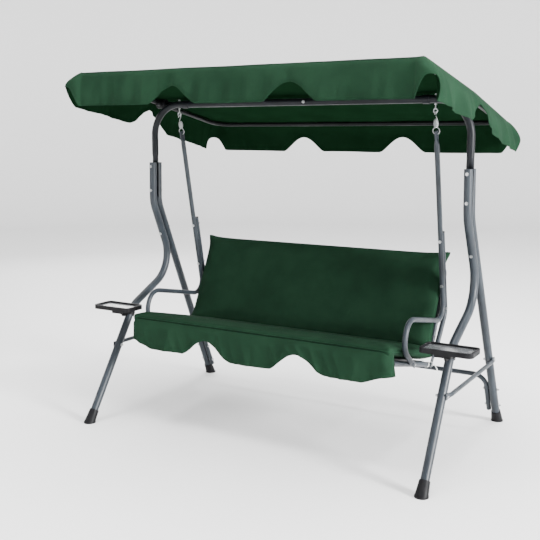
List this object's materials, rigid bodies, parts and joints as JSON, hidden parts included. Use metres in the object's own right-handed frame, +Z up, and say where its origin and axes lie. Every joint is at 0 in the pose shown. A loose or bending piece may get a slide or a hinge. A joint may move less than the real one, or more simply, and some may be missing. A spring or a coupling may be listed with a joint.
{
  "type": "canopy swing bench",
  "caption": "Garden swing bench: bent steel side frames carry a top beam, a sprung hanging seat with cushions, clip-on side trays and a tilting scalloped fabric canopy.",
  "frame": {"origin": "on the ground, midway between the side frames and between the front and rear of the canopy", "axes": "+Z up, the sitter faces -Y, +X to the right seen from the front"},
  "size_m": [1.884, 1.122, 1.6176],
  "materials": {
    "powder_coat": "satin anthracite powder coat",
    "zinc_hardware": "bright zinc plate",
    "cushion": "matt dark green woven polyester over filling",
    "canopy_cloth": "matt dark green coated polyester",
    "sling_cloth": "black woven mesh cloth",
    "black_plastic": "moulded black plastic, fine grain",
    "tray_panel": "grey grained panel"
  },
  "bodies": {
    "frame": {"left_front_leg": "powder_coat", "right_front_leg": "powder_coat", "left_rear_leg": "powder_coat", "right_rear_leg": "powder_coat", "left_front_foot": "black_plastic", "right_front_foot": "black_plastic", "left_rear_foot": "black_plastic", "right_rear_foot": "black_plastic", "left_beam_half": "powder_coat", "right_beam_half": "powder_coat", "left_side_brace": "powder_coat", "right_side_brace": "powder_coat", "left_eyebolt": "zinc_hardware", "right_eyebolt": "zinc_hardware", "left_rail_saddle": "powder_coat", "right_rail_saddle": "powder_coat", "left_tray": "black_plastic", "right_tray": "black_plastic", "left_tray_panel": "tray_panel", "right_tray_panel": "tray_panel", "left_tray_clamp": "black_plastic", "right_tray_clamp": "black_plastic", "beam_spigot": "powder_coat", "beam_joint_screw": "zinc_hardware", "side_frame_bolts": "zinc_hardware", "brace_bolts": "zinc_hardware", "rear_crossbar": "powder_coat", "crossbar_bolts": "zinc_hardware", "canopy_centre_rail": "powder_coat"},
    "springs": {"left_spring": "zinc_hardware", "right_spring": "zinc_hardware"},
    "seat": {"left_hanger_arm": "powder_coat", "right_hanger_arm": "powder_coat", "left_back_upright": "powder_coat", "right_back_upright": "powder_coat", "left_side_rail": "powder_coat", "right_side_rail": "powder_coat", "upright_caps": "black_plastic", "back_frame": "powder_coat", "back_frame_bolts": "zinc_hardware", "upright_bolts": "zinc_hardware", "rail_bolts": "zinc_hardware", "rail_caps": "black_plastic", "seat_front_tube": "powder_coat", "seat_rear_tube": "powder_coat", "seat_sling": "sling_cloth", "back_sling": "sling_cloth", "seat_cushion": "cushion", "back_cushion": "cushion", "seat_valance": "cushion"},
    "canopy": {"left_canopy_hub": "black_plastic", "right_canopy_hub": "black_plastic", "canopy_front_hoop": "powder_coat", "canopy_rear_hoop": "powder_coat", "canopy_cover": "canopy_cloth"},
    "left_collar": {"left_tilt_collar": "black_plastic"},
    "right_collar": {"right_tilt_collar": "black_plastic"}
  },
  "joints": [
    {"name": "seat_swing", "type": "hinge", "parent": "frame", "child": "springs", "pos_m": [0, 0.008, 1.432], "axis": [1, 0, 0], "range_deg": [-20, 20]},
    {"name": "seat_bounce", "type": "slide", "parent": "springs", "child": "seat", "axis": [0, 0.2011, -0.9796], "range_m": [0, 0.03], "stiffness_N_per_m": 30000, "springref_m": -0.012, "deforming": ["left_spring", "right_spring"]},
    {"name": "canopy_tilt", "type": "hinge", "parent": "frame", "child": "canopy", "pos_m": [0, 0.036, 1.49], "axis": [1, 0, 0], "range_deg": [-15, 15]},
    {"name": "left_collar_turn", "type": "hinge", "parent": "canopy", "child": "left_collar", "pos_m": [-0.756, 0.036, 1.49], "axis": [1, 0, 0], "continuous": true},
    {"name": "right_collar_turn", "type": "hinge", "parent": "canopy", "child": "right_collar", "pos_m": [0.756, 0.036, 1.49], "axis": [1, 0, 0], "continuous": true}
  ]
}
